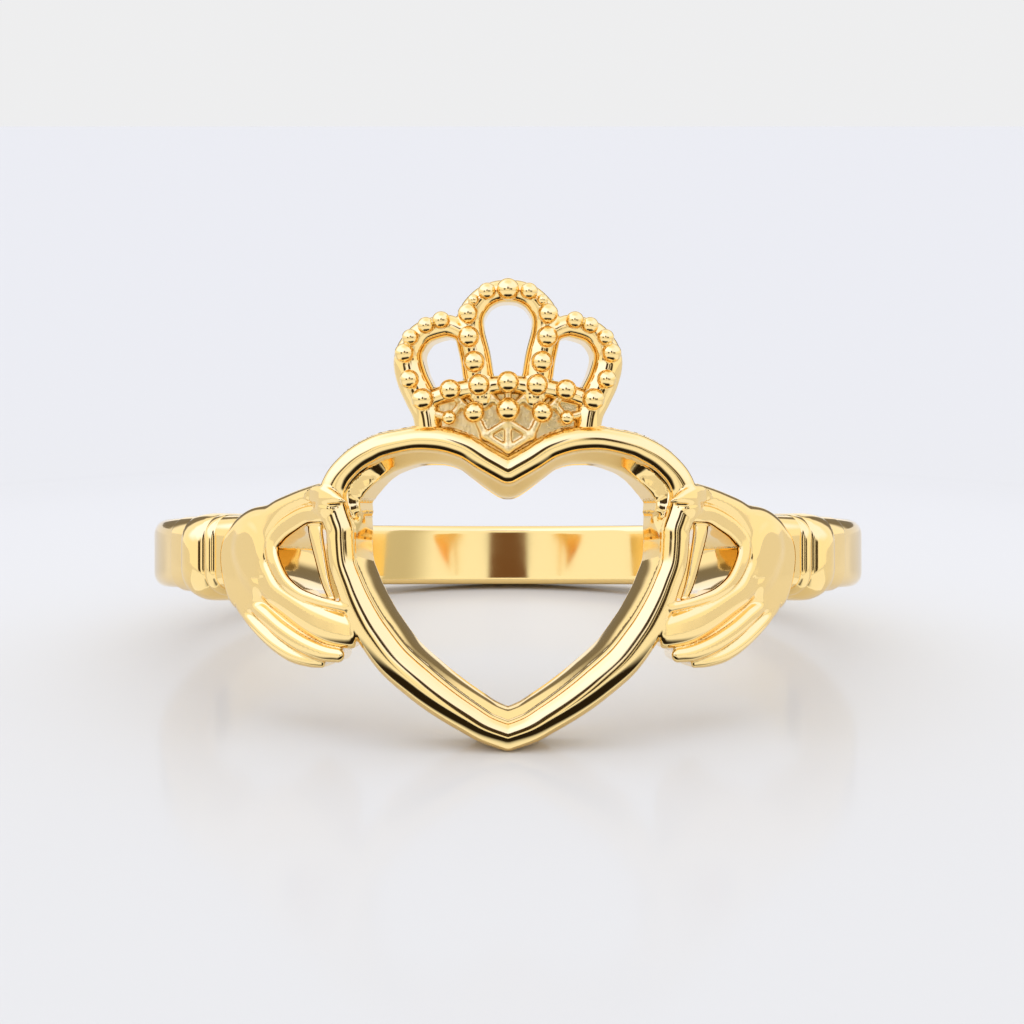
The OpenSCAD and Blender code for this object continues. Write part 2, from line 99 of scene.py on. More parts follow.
class Path:
    """A cubic curve through rows: two places, then any other columns."""

    def __init__(self, rows, samples=3):
        rows = np.array(rows, float)
        before = 2 * rows[0] - rows[1]
        after = 2 * rows[-1] - rows[-2]
        self.rows = np.vstack([before, rows, after])
        self.spans = len(rows) - 1
        self.u = np.linspace(0, self.spans, self.spans * samples + 1)
        self.line = self.at(self.u)[:, :2]
        self.guess = None

    def parts(self, u):
        """Share of the span and the four rows round it, for each value along the curve."""
        k = np.clip(np.floor(u).astype(int), 0, self.spans - 1)
        t = (u - k)[:, None]
        return t, self.rows[k], self.rows[k + 1], self.rows[k + 2], self.rows[k + 3]

    def at(self, u):
        t, a, b, c, d = self.parts(u)
        return 0.5 * (2 * b + (c - a) * t + (2 * a - 5 * b + 4 * c - d) * t**2
                      + (3 * b - a - 3 * c + d) * t**3)

    def slope(self, u):
        """First and second derivative of the curve's place."""
        t, a, b, c, d = self.parts(u)
        first = 0.5 * ((c - a) + 2 * (2 * a - 5 * b + 4 * c - d) * t + 3 * (3 * b - a - 3 * c + d) * t**2)
        second = 0.5 * (2 * (2 * a - 5 * b + 4 * c - d) + 6 * (3 * b - a - 3 * c + d) * t)
        return first[:, :2], second[:, :2]

    def rough(self, p):
        """How far along the curve's chords the nearest place to each point is."""
        best = np.full(len(p), np.inf)
        u = np.zeros(len(p))
        for i in range(len(self.line) - 1):
            a, b = self.line[i], self.line[i + 1]
            ab = b - a
            t = np.clip(((p - a) @ ab) / max(ab @ ab, 1e-12), 0, 1)
            d = ((p - a - t[:, None] * ab) ** 2).sum(1)
            closer = d < best
            best[closer] = d[closer]
            u[closer] = (self.u[i] + t * (self.u[i + 1] - self.u[i]))[closer]
        return u

    def nearest(self, p):
        """For each point: distance, side, the curve's columns there and how far along it is."""
        if self.guess is None:
            self.low = self.line.min(0) - GUESS_ROOM
            count = np.ceil((self.line.max(0) + GUESS_ROOM - self.low) / GUESS_STEP).astype(int)
            grid = np.stack(np.meshgrid(*[np.arange(c) * GUESS_STEP for c in count], indexing="ij"), -1)
            self.guess = self.rough(grid.reshape(-1, 2) + self.low).reshape(count)
        at = np.rint((p - self.low) / GUESS_STEP).astype(int)
        at = np.clip(at, 0, np.array(self.guess.shape) - 1)
        u = self.guess[at[:, 0], at[:, 1]]
        for _ in range(2):
            c = self.at(u)[:, :2]
            v1, v2 = self.slope(u)
            away = c - p
            g = (away * v1).sum(1)
            h = (v1 * v1).sum(1) + np.maximum((away * v2).sum(1), -0.5 * (v1 * v1).sum(1))
            u = np.clip(u - np.clip(g / np.maximum(h, 1e-9), -0.4, 0.4), 0, self.spans)
        row = self.at(u)
        v1, _ = self.slope(u)
        v1 = v1 / np.maximum(np.linalg.norm(v1, axis=1), 1e-9)[:, None]
        away = p - row[:, :2]
        side = away[:, 1] * v1[:, 0] - away[:, 0] * v1[:, 1]
        return np.hypot(away[:, 0], away[:, 1]), side, row, u


def smooth_min(a, b, k):
    """The lower of two values, rounded where they cross over a width k."""
    h = np.clip(0.5 + 0.5 * (b - a) / k, 0, 1)
    return b + (a - b) * h - k * h * (1 - h)


def smooth_max(a, b, k):
    return -smooth_min(-a, -b, k)


# The heart, right half from the cleft over the lobe to the tip: distance across and height of its
# crest line, half width of its round front, width and depth of the slope inside it, and outward
# lean of its outer wall
HEART = [
    [0.000, 1.945, 0.340, 0.27, 0.50, 0.15], [0.215, 2.065, 0.340, 0.26, 0.50, 0.18],
    [0.590, 2.275, 0.335, 0.23, 0.50, 0.20], [0.985, 2.525, 0.330, 0.21, 0.50, 0.22],
    [1.280, 2.645, 0.330, 0.21, 0.50, 0.22], [1.565, 2.725, 0.330, 0.22, 0.50, 0.22],
    [1.855, 2.765, 0.325, 0.24, 0.50, 0.22], [2.250, 2.775, 0.315, 0.26, 0.50, 0.22],
    [2.619, 2.728, 0.305, 0.28, 0.50, 0.22], [3.187, 2.609, 0.324, 0.32, 0.40, 0.20],
    [3.513, 2.475, 0.338, 0.34, 0.34, 0.18], [3.801, 2.320, 0.340, 0.38, 0.16, 0.16],
    [4.071, 2.110, 0.345, 0.40, 0.08, 0.14], [4.330, 1.830, 0.350, 0.40, 0.08, 0.12],
    [4.490, 1.500, 0.360, 0.38, 0.08, 0.10], [4.500, 1.150, 0.370, 0.32, 0.08, 0.05],
    [4.400, 0.800, 0.375, 0.25, 0.08, 0.00], [4.300, 0.524, 0.375, 0.14, 0.50, 0.00],
    [4.288, 0.245, 0.372, 0.11, 0.50, 0.00], [4.229, -0.320, 0.365, 0.11, 0.50, 0.00],
    [4.044, -0.827, 0.380, 0.11, 0.50, 0.00], [3.890, -1.213, 0.407, 0.12, 0.50, 0.00],
    [3.664, -1.670, 0.440, 0.13, 0.50, 0.00], [3.408, -2.083, 0.465, 0.14, 0.50, 0.00],
    [2.901, -2.716, 0.480, 0.14, 0.50, 0.00], [2.223, -3.287, 0.470, 0.16, 0.50, 0.00],
    [1.795, -3.609, 0.452, 0.18, 0.50, 0.00], [1.406, -3.870, 0.430, 0.20, 0.50, 0.00],
    [0.990, -4.125, 0.405, 0.22, 0.50, 0.00], [0.553, -4.378, 0.384, 0.24, 0.50, 0.00],
    [0.000, -4.580, 0.370, 0.25, 0.50, 0.00],
]
CREST = Path(HEART, samples=2)
# Height of the cleft, from which the crown's heights are measured
CLEFT_Z = 2.38


def sheet(p):
    """Place on the bent sheet of heart and crown: across, up, and depth behind its front."""
    x, y = p[:, 0], p[:, 1] - (BEND - HEART_FRONT)
    return np.arctan2(x, -y) * BEND, p[:, 2], BEND - np.hypot(x, y)


def mirrored(p):
    """The same places on the right half."""
    return np.abs(p) * [1, 0, 0] + p * [0, 1, 1]


def heart_form(p):
    """Distance to the heart: a round wire in front of a frame with a sloped inner wall."""
    a, z, d = sheet(p)
    dist, side, row, _ = CREST.nearest(np.stack([a, z], 1))
    w, slope_w, slope_t, lean_out = row[:, 2:].T
    n = np.where(side > 0, dist, -dist)
    wire = np.hypot(n, d - w) - w
    outer = (n - w + lean_out * (d - w - 0.15)) / np.hypot(1, lean_out)
    turn = slope_w / slope_t
    slope = (-n - w - turn * (d - w)) / np.hypot(1, turn)
    wall = -n - w - slope_w - 0.05 * (d - w - slope_t)
    inner = smooth_max(slope, wall, 0.08)
    body = smooth_max(smooth_max(outer, inner, 0.05), d - HEART_T, 0.25)
    body = np.maximum(body, w - d)
    return smooth_min(wire, body, 0.015)


# The hand's forms, each a row of places: share of its length from the heart, height over the middle
# of the band, half width, and height over the hand's surface, in millimetres
THUMB = [
    [0.075, 1.440, 0.270, 0.240], [0.189, 1.350, 0.260, 0.120], [0.305, 1.200, 0.290, 0.050],
    [0.400, 1.020, 0.370, 0.020], [0.480, 0.800, 0.480, 0.000], [0.580, 0.520, 0.660, 0.000],
    [0.700, 0.200, 0.780, 0.000], [0.800, -0.050, 0.800, 0.000],
]
PALM = [
    [0.655, 0.050, 0.880, 0.000], [0.690, -0.350, 1.050, 0.000], [0.720, -0.750, 1.000, 0.000],
    [0.680, -1.080, 0.780, 0.000],
]
THUMB_TIP = [
    [0.130, 1.420, 0.240, 0.160], [0.060, 1.400, 0.240, 0.420], [0.000, 1.340, 0.190, 0.520],
    [-0.050, 1.270, 0.100, 0.520], [-0.085, 1.220, 0.040, 0.420],
]
FOREFINGER = [
    [-0.048, 0.930, 0.180, -0.300], [-0.024, 0.930, 0.210, 0.000], [0.000, 0.930, 0.225, 0.200],
    [0.032, 0.930, 0.225, 0.290], [0.085, 0.930, 0.225, 0.240],
    [0.165, 0.910, 0.230, 0.090], [0.255, 0.765, 0.260, 0.000], [0.345, 0.570, 0.270, -0.020],
    [0.420, 0.280, 0.265, -0.020], [0.432, 0.030, 0.250, 0.000], [0.400, -0.320, 0.225, 0.030],
    [0.326, -0.745, 0.190, 0.040], [0.216, -1.055, 0.155, 0.050], [0.117, -1.200, 0.135, 0.070],
    [0.020, -1.310, 0.120, 0.100], [-0.080, -1.400, 0.120, 0.100],
]
MIDDLE_FINGER = [
    [0.640, 0.100, 0.720, 0.000], [0.580, -0.360, 0.660, 0.000], [0.500, -0.720, 0.520, 0.000],
    [0.420, -1.020, 0.440, 0.020], [0.304, -1.290, 0.430, 0.030], [0.160, -1.625, 0.450, 0.040],
    [0.032, -1.860, 0.470, 0.050], [-0.080, -1.980, 0.450, 0.000], [-0.170, -2.020, 0.420, -0.100],
]
RING_FINGER = [
    [0.700, -1.300, 0.180, -0.200], [0.600, -1.450, 0.210, -0.060], [0.500, -1.650, 0.230, 0.000],
    [0.360, -2.020, 0.235, 0.000], [0.200, -2.360, 0.230, 0.000], [0.070, -2.550, 0.220, -0.030],
    [-0.035, -2.600, 0.190, -0.080],
]
LITTLE_FINGER = [
    [0.800, -1.350, 0.180, -0.200], [0.700, -1.600, 0.200, -0.080], [0.610, -1.880, 0.200, -0.060],
    [0.460, -2.300, 0.200, -0.080], [0.300, -2.620, 0.195, -0.100], [0.160, -2.770, 0.160, -0.140],
    [0.070, -2.820, 0.120, -0.200],
]
UNDER = [
    [0.660, -1.300, 0.400, -0.180], [0.500, -1.600, 0.400, -0.200], [0.350, -1.950, 0.420, -0.220],
    [0.200, -2.200, 0.420, -0.260], [0.070, -2.380, 0.300, -0.320], [0.000, -2.400, 0.250, -0.400],
]
BAR = [
    [0.112, 0.660, 0.260, -0.120], [0.107, 0.450, 0.240, -0.100], [0.080, -0.070, 0.200, -0.100],
    [0.038, -0.780, 0.150, -0.100], [-0.013, -1.330, 0.090, -0.140],
]


# Distance from the middle where hands are worked out, and where the hand and its forefinger's arm
# end, inside the heart's wire
HAND_NEAR, HAND_END, ARM_END = 3.2, 3.78, 3.70


def limb_path(rows):
    return Path(np.array(rows, float) * [HAND_L, 1, 1, 1], samples=3)


THUMB, PALM, THUMB_TIP, FOREFINGER = map(limb_path, (THUMB, PALM, THUMB_TIP, FOREFINGER))
MIDDLE_FINGER, RING_FINGER, LITTLE_FINGER = map(limb_path, (MIDDLE_FINGER, RING_FINGER, LITTLE_FINGER))
UNDER, BAR = map(limb_path, (UNDER, BAR))


def hand_r(share):
    """Distance of the hand's surface from the finger's axis, from the wrist out to the heart."""
    return BAND_R + LIP_H / 2 + HAND_RISE * np.maximum(1 - share, 0) ** 1.3


def hand_share(angle, r):
    """Share of the hand's length for a place on walls that run straight back at the heart and
    turn towards the finger's axis on the way to the wrist."""
    def at(share):
        front = HEART_SIDE + share * HAND_TURN
        back = np.arcsin(np.clip(hand_r(share) * np.sin(front) / r, -1, 1))
        return back + (front - back) * np.clip(2 * share, 0, 1)

    share = (angle - HEART_SIDE) / HAND_TURN
    for _ in range(4):
        value = at(share)
        slope = np.maximum((at(share + 1e-3) - value) / 1e-3, 0.1)
        share = share - np.clip((value - angle) / slope, -0.3, 0.3)
    return share


def raised(side, over, edge):
    """A form from its distance in plan and its height, with a round edge between the two."""
    a, b = side + edge, over + edge
    return np.minimum(np.maximum(a, b), 0) + np.hypot(np.maximum(a, 0), np.maximum(b, 0)) - edge


# How far round a limb its form is worked out
LIMB_ROOM = 0.8


def limb_form(path, flat, over, edge):
    """Height of a limb over its surface, and a far value where it can't be near."""
    reach = path.rows[:, 2].max() + LIMB_ROOM
    near = ((flat > path.line.min(0) - reach) & (flat < path.line.max(0) + reach)).all(1)
    out = np.full(len(flat), LIMB_ROOM)
    dist, _, row, _ = path.nearest(flat[near])
    out[near] = raised(dist - row[:, 2], over[near] - row[:, 3], np.minimum(edge, row[:, 2]))
    return out


def hand_forms(p):
    """The forefinger with its arm to the heart, and all the rest of the hand."""
    x, y, z = p[:, 0], p[:, 1], p[:, 2]
    r = np.hypot(x, y)
    share = hand_share(np.arctan2(x, -y), r)
    flat = np.stack([share * HAND_L, z], 1)
    over = r - hand_r(share)
    fore = limb_form(FOREFINGER, flat, over, 0.15)
    d1, _, row1, _ = THUMB.nearest(flat)
    d2, _, row2, _ = PALM.nearest(flat)
    a, b = d1 - row1[:, 2], d2 - row2[:, 2]
    # Thumb and palm flow into each other
    flow = 0.6
    h = np.clip(0.5 + 0.5 * (b - a) / flow, 0, 1)
    plan = b + (a - b) * h - flow * h * (1 - h)
    top = row2[:, 3] + (row1[:, 3] - row2[:, 3]) * h
    arch = 0.10 * np.clip(z - 0.2, 0, 2) ** 2 * np.clip(share, 0, 1) + 0.06 * np.clip(-0.4 - z, 0, 2) ** 2
    f = raised(plan, over - top + arch, 0.36)
    f = smooth_min(f, limb_form(MIDDLE_FINGER, flat, over, 0.34), 0.22)
    f = smooth_min(f, limb_form(UNDER, flat, over, 0.10), 0.08)
    f = smooth_min(f, limb_form(RING_FINGER, flat, over, 0.20), 0.07)
    f = smooth_min(f, limb_form(LITTLE_FINGER, flat, over, 0.20), 0.07)
    f = smooth_min(f, limb_form(BAR, flat, over, 0.16), 0.05)
    f = smooth_max(f, HAND_END - x, 0.15)
    # The thumb's tip lies on top of the heart's wire, and the arm ends against the wire
    tip = smooth_max(limb_form(THUMB_TIP, flat, over, 0.16), 0.10 - over, 0.08)
    f = smooth_min(f, tip, 0.05)
    fore = smooth_max(fore, ARM_END - x, 0.15)
    return smooth_max(fore, BORE_R - r, 0.08), smooth_max(f, BORE_R - r, 0.08)


def head_form(p):
    """Heart and hands in one form, with a wider blend where the arm's upper side meets the heart."""
    p = mirrored(p)
    heart = heart_form(p)
    near = p[:, 0] > HAND_NEAR
    if near.any():
        z = p[near, 2]
        fore, hand = hand_forms(p[near])
        step = np.clip((z - 0.78) / 0.3, 0, 1)
        flow = 0.05 + 0.28 * step * step * (3 - 2 * step)
        heart[near] = smooth_min(smooth_min(heart[near], fore, flow), hand, 0.055)
    return heart


# Crown: rows of arches and grains in shares of its half width and height over the heart's cleft
CENTRE_ARCH = [
    [0.225, 0.330, 0.160], [0.252, 0.422, 0.184], [0.284, 0.560, 0.184], [0.329, 0.698, 0.176],
    [0.319, 0.802, 0.160], [0.232, 0.887, 0.140], [0.119, 0.930, 0.132], [0.000, 0.940, 0.128],
    [-0.119, 0.930, 0.132],
]
SIDE_ARCH = [
    [0.360, 0.694, 0.104], [0.470, 0.732, 0.126], [0.562, 0.739, 0.132], [0.727, 0.706, 0.140],
    [0.833, 0.633, 0.156], [0.872, 0.546, 0.178], [0.838, 0.440, 0.188], [0.765, 0.335, 0.190],
    [0.708, 0.237, 0.172], [0.680, 0.110, 0.166],
]
FOOT_RIM = [
    [-0.237, 0.386, 0.100], [0.000, 0.403, 0.110], [0.237, 0.386, 0.110], [0.488, 0.359, 0.110],
    [0.720, 0.310, 0.100],
]
GRAINS = [
    [0.000, 0.940, 0.92, 0], [0.176, 0.928, 0.72, 0], [0.292, 0.880, 0.46, 0], [0.336, 0.802, 0.84, 0],
    [0.330, 0.670, 0.90, 0], [0.285, 0.528, 0.90, 0], [0.245, 0.396, 0.90, 0], [0.000, 0.412, 0.92, 0],
    [0.488, 0.368, 0.88, 0], [0.563, 0.765, 0.74, 0], [0.692, 0.736, 0.70, 0], [0.824, 0.668, 0.70, 0],
    [0.874, 0.580, 0.82, 0], [0.832, 0.430, 0.80, 0], [0.720, 0.315, 0.92, 0], [0.000, 0.258, 1.00, 1],
    [0.290, 0.242, 0.88, 1], [0.500, 0.212, 0.60, 1],
]
VEINS = [
    [[0.245, 0.396], [0.290, 0.242]], [[0.000, 0.412], [0.000, 0.258]], [[0.000, 0.258], [0.130, 0.320]],
    [[0.130, 0.320], [0.245, 0.396]], [[0.130, 0.320], [0.290, 0.242]], [[0.488, 0.368], [0.400, 0.290]],
    [[0.400, 0.290], [0.290, 0.242]], [[0.400, 0.290], [0.500, 0.212]], [[0.500, 0.212], [0.720, 0.250]],
    [[0.000, 0.190], [0.196, 0.110]], [[0.196, 0.110], [0.000, 0.030]], [[0.196, 0.110], [0.290, 0.242]],
    [[0.000, 0.258], [0.000, 0.030]],
]


def crown_rows(rows):
    rows = np.array(rows, float)
    out = rows.copy()
    out[:, 0] = rows[:, 0] * CROWN_W / 2
    out[:, 1] = CLEFT_Z + rows[:, 1] * CROWN_H
    if out.shape[1] > 2:
        out[:, 2] = rows[:, 2] * CROWN_H / 2
    return out


ARCHES = [Path(crown_rows(r)) for r in (CENTRE_ARCH, SIDE_ARCH, FOOT_RIM)]


def crown_form(p):
    """The crown's arches with their grains, down to the heart's frame."""
    p = mirrored(p)
    a, z, d = sheet(p)
    flat = np.stack([a, z], 1)
    f = None
    for path in ARCHES:
        dist, _, row, _ = path.nearest(flat)
        w = row[:, 2]
        over = np.maximum(CROWN_SET + w - d, 0)
        g = np.hypot(dist, over) - w
        g = smooth_max(g, d - CROWN_SET - CROWN_T, 0.15)
        f = g if f is None else smooth_min(f, g, 0.06)
    for g in GRAINS:
        x = g[0] * CROWN_W / 2
        turn = x / BEND
        depth = BEND - (CROWN_SET - 0.13 + g[3] * FLOOR_SET * 0.7)
        at = np.array([depth * math.sin(turn), BEND - HEART_FRONT - depth * math.cos(turn),
                       CLEFT_Z + g[1] * CROWN_H])
        bead = np.linalg.norm(p - at, axis=1) - g[2] * BEAD_D / 2 * 1.12
        f = smooth_min(f, bead, 0.015)
    return smooth_max(f, over_heart(flat), 0.02)


def over_heart(flat):
    """Where the crown ends, inside the heart's frame."""
    dist, side, _, _ = CREST.nearest(flat)
    return -0.12 - np.where(side > 0, dist, -dist)


def crown_floor_form(p):
    """The recessed floor between the foot rim and the heart, with its thin ridges."""
    p = mirrored(p)
    a, z, d = sheet(p)
    flat = np.stack([a, z], 1)
    top = CLEFT_Z + 0.39 * CROWN_H
    side = np.maximum(z - top, a - 0.71 * CROWN_W / 2)
    f = smooth_max(CROWN_SET + FLOOR_SET + 0.06 - d, d - CROWN_SET - CROWN_T + 0.09, 0.1)
    f = np.maximum(f, side)
    for v in VEINS:
        ends = crown_rows(np.array(v))
        ab = ends[1] - ends[0]
        t = np.clip(((flat - ends[0]) @ ab) / (ab @ ab), 0, 1)
        dist = np.hypot(*(flat - ends[0] - t[:, None] * ab).T)
        g = np.hypot(dist, d - CROWN_SET - FLOOR_SET + 0.04) - 0.10
        f = smooth_min(f, g, 0.06)
    return smooth_max(f, over_heart(flat), 0.02)


# Surfaces of these forms as meshes

CORNERS = np.array([[i, j, k] for i in (0, 1) for j in (0, 1) for k in (0, 1)])
EDGES = [(a, b) for a in range(8) for b in range(a + 1, 8) if np.abs(CORNERS[a] - CORNERS[b]).sum() == 1]


def slopes(form, p, step=0.012):
    """Direction and rate in which a form's value grows, from four points round each point."""
    out = np.zeros_like(p)
    for way in ((1, -1, -1), (-1, -1, 1), (-1, 1, -1), (1, 1, 1)):
        way = np.array(way, float)
        out += form(p + way * step)[:, None] * way
    return out / (4 * step)


# Cells in a block, and points worked out at a time in blocks
BLOCK, BATCH = 8, 200


def surface(form, low, high, cell):
    """Vertices, normals and quads of a form that is the same on the left as on the right. The right
    half is worked out, cell by cell near the surface. It starts half a cell over the middle, or off
    it where left and right are apart."""
    block = BLOCK
    low = np.array(low, float)
    blocks = np.ceil((np.array(high) - low) / (cell * block)).astype(int)
    n = blocks * block + 1
    values = np.full(n, 1.0, np.float32)
    centres = [(np.arange(b) + 0.5) * cell * block for b in blocks]
    centres = np.stack(np.meshgrid(*centres, indexing="ij"), -1)
    rough = form(centres.reshape(-1, 3) + low).reshape(blocks)
    reach = cell * block * 0.87 * 1.25
    steps = np.stack(np.meshgrid(*[np.arange(block + 1)] * 3, indexing="ij"), -1).reshape(-1, 3)
    for b in np.argwhere(rough < -reach):
        i, j, k = b * block
        values[i:i + block + 1, j:j + block + 1, k:k + block + 1] = -1
    busy = np.argwhere(np.abs(rough) <= reach)
    for start in range(0, len(busy), BATCH):
        part = busy[start:start + BATCH] * block
        index = (part[:, None, :] + steps[None]).reshape(-1, 3)
        got = form(index * cell + low)
        values[index[:, 0], index[:, 1], index[:, 2]] = got
    inside = values < 0
    count = sum(inside[c[0]:n[0] - 1 + c[0], c[1]:n[1] - 1 + c[1], c[2]:n[2] - 1 + c[2]].astype(np.int8)
                for c in CORNERS)
    cells = np.argwhere((count > 0) & (count < 8))
    number = np.full(count.shape, -1, np.int32)
    number[tuple(cells.T)] = np.arange(len(cells))
    corner = np.stack([values[tuple((cells + c).T)] for c in CORNERS], 1)
    total = np.zeros((len(cells), 3))
    hits = np.zeros(len(cells))
    for a, b in EDGES:
        va, vb = corner[:, a], corner[:, b]
        cross = (va < 0) != (vb < 0)
        t = np.where(cross, va / np.where(cross, va - vb, 1), 0)[:, None]
        total += np.where(cross[:, None], CORNERS[a] + t * (CORNERS[b] - CORNERS[a]), 0)
        hits += cross
    verts = (cells + total / hits[:, None]) * cell + low
    quads = []
    for axis in range(3):
        u, v = (axis + 1) % 3, (axis + 2) % 3
        first = [slice(None)] * 3
        second = [slice(None)] * 3
        first[axis], second[axis] = slice(0, -1), slice(1, None)
        change = inside[tuple(first)] != inside[tuple(second)]
        at = np.argwhere(change)
        at = at[(at[:, u] > 0) & (at[:, v] > 0) & (at[:, u] < count.shape[u]) & (at[:, v] < count.shape[v])]
        du, dv = np.eye(3, dtype=int)[u], np.eye(3, dtype=int)[v]
        ring = np.stack([number[tuple((at - du - dv).T)], number[tuple((at - dv).T)], number[tuple(at.T)],
                         number[tuple((at - du).T)]], 1)
        outward = inside[tuple(at.T)]
        ring[~outward] = ring[~outward][:, ::-1]
        quads.append(ring)
    quads = np.concatenate(quads)
    g = slopes(form, verts)
    move = form(verts) / np.maximum((g * g).sum(1), 0.05)
    verts = verts - np.clip(move, -0.5 * cell, 0.5 * cell)[:, None] * g
    normals = slopes(form, verts)
    middle = (cells[:, 0] == 0) & (low[0] < 0)
    verts[middle, 0] = normals[middle, 0] = 0
    normals /= np.maximum(np.linalg.norm(normals, axis=1), 1e-9)[:, None]
    left = np.where(middle, np.arange(len(verts)), len(verts) + np.cumsum(~middle) - 1)
    flip = np.array([-1, 1, 1])
    return (np.concatenate([verts, verts[~middle] * flip]),
            np.concatenate([normals, normals[~middle] * flip]),
            np.concatenate([quads, left[quads[:, ::-1]]]))


def make_piece(name, verts, normals, faces, material):
    """A smooth piece of the ring, carried by its one body."""
    mesh = bpy.data.meshes.new(name)
    place = to_row(verts)
    mesh.from_pydata(place.tolist(), [], faces.tolist())
    mesh.update()
    mesh.materials.append(material)
    mesh.polygons.foreach_set("use_smooth", np.ones(len(faces), bool))
    mesh.normals_split_custom_set_from_vertices(turn_to_row(normals).tolist())
    obj = bpy.data.objects.new(name, mesh)
    bpy.context.scene.collection.objects.link(obj)
    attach(obj, "root")
    return obj


# Band and cuffs: one sweep from wrist to wrist round the back, which starts this far in the hand,
# and the radius of the band's edges at the finger hole
IN_HAND, INNER_EDGE = 1.5, 0.14


def ridge(s, start, length, height):
    """Height of a half-round ridge along the band."""
    u = np.clip(2 * (s - start) / length - 1, -1, 1)
    return height * np.sqrt(np.maximum(1 - u * u, 0))


def band_sweep():
    """Vertices, normals and quads of the band with its two cuffs."""
    end = LIP_L + RIDGE_L + SLEEVE_L
    # Closely spaced sections from inside the hand to past the sleeve, then wider round the back
    near = np.linspace(-IN_HAND, end + 0.3, 170)
    far = np.linspace(end + 0.3, (math.pi - WRIST) * BAND_R, 130)[1:]
    s = np.concatenate([near, far])
    out = np.maximum(ridge(s, 0, LIP_L, LIP_H), ridge(s, LIP_L, RIDGE_L, RIDGE_H))
    sleeve = SLEEVE_H * 0.5 * (1 - np.tanh((s - end) / 0.03))
    out = np.maximum(out, np.where(s > LIP_L + RIDGE_L * 0.5, sleeve, LIP_H / 4))
    angle = WRIST + s / BAND_R
    angle = np.concatenate([angle, 2 * math.pi - angle[-2::-1]])
    out = np.concatenate([out, out[-2::-1]])
    around = np.linspace(0, 1, 60, endpoint=False)
    pts = []
    for a, o in zip(angle, out):
        edge = BAND_EDGE + 1.5 * o
        top, bottom = BAND_W / 2 + o * 0.3, -BAND_W / 2 - o
        outline = rounded_box(BORE_R, BAND_R + o, bottom, top, INNER_EDGE, edge, around)
        pts.append(np.stack([outline[:, 0] * math.sin(a), -outline[:, 0] * math.cos(a), outline[:, 1]], 1))
    pts = np.array(pts)
    m, n = pts.shape[:2]
    along = np.gradient(pts, axis=0)
    across = np.roll(pts, -1, 1) - np.roll(pts, 1, 1)
    normals = np.cross(across, along)
    normals /= np.maximum(np.linalg.norm(normals, axis=2), 1e-12)[..., None]
    i, j = np.meshgrid(np.arange(m - 1), np.arange(n), indexing="ij")
    k = (j + 1) % n
    quads = np.stack([i * n + j, i * n + k, (i + 1) * n + k, (i + 1) * n + j], -1).reshape(-1, 4)
    return pts.reshape(-1, 3), normals.reshape(-1, 3), quads


def rounded_box(r0, r1, z0, z1, inner, outer, shares):
    """Points round a section with rounded edges, at shares of its perimeter."""
    pts = []
    for (cr, cz, rad, a0) in ((r1 - outer, z1 - outer, outer, 90), (r1 - outer, z0 + outer, outer, 0),
                              (r0 + inner, z0 + inner, inner, -90), (r0 + inner, z1 - inner, inner, -180)):
        for a in np.radians(np.linspace(a0, a0 - 90, 9)):
            pts.append([cr + rad * math.cos(a), cz + rad * math.sin(a)])
    pts.append(pts[0])
    pts = np.array(pts)
    length = np.concatenate([[0], np.cumsum(np.hypot(*np.diff(pts, axis=0).T))])
    at = shares * length[-1]
    return np.stack([np.interp(at, length, pts[:, 0]), np.interp(at, length, pts[:, 1])], 1)


# Materials


class Nodes:
    """Short names for the nodes of a shader."""

    def __init__(self, tree):
        self.tree = tree

    def node(self, kind, **values):
        node = self.tree.nodes.new(kind)
        for name, value in values.items():
            setattr(node, name, value)
        return node

    def put(self, socket, value):
        if isinstance(value, (int, float)):
            socket.default_value = value
        elif isinstance(value, tuple):
            socket.default_value = value if len(value) == 4 else (*value, 1)
        else:
            self.tree.links.new(value, socket)

    def math(self, kind, *values):
        node = self.node("ShaderNodeMath", operation=kind)
        for socket, value in zip(node.inputs, values):
            self.put(socket, value)
        return node.outputs[0]

    def ramp(self, value, low, high, out_low=0.0, out_high=1.0):
        """A smooth step from one value to another."""
        node = self.node("ShaderNodeMapRange", interpolation_type="SMOOTHSTEP")
        values = {"Value": value, "From Min": low, "From Max": high, "To Min": out_low, "To Max": out_high}
        for name, v in values.items():
            self.put(node.inputs[name], v)
        return node.outputs["Result"]

    def times(self, *values):
        """The product of several values."""
        out = values[0]
        for value in values[1:]:
            out = self.math("MULTIPLY", out, value)
        return out

    def mix(self, share, a, b):
        """A colour between two others."""
        node = self.node("ShaderNodeMix", data_type="RGBA")
        self.put(node.inputs[0], share)
        self.put(node.inputs[6], a)
        self.put(node.inputs[7], b)
        return node.outputs[2]


GOLD_COLOUR = (0.98, 0.71, 0.29, 1)


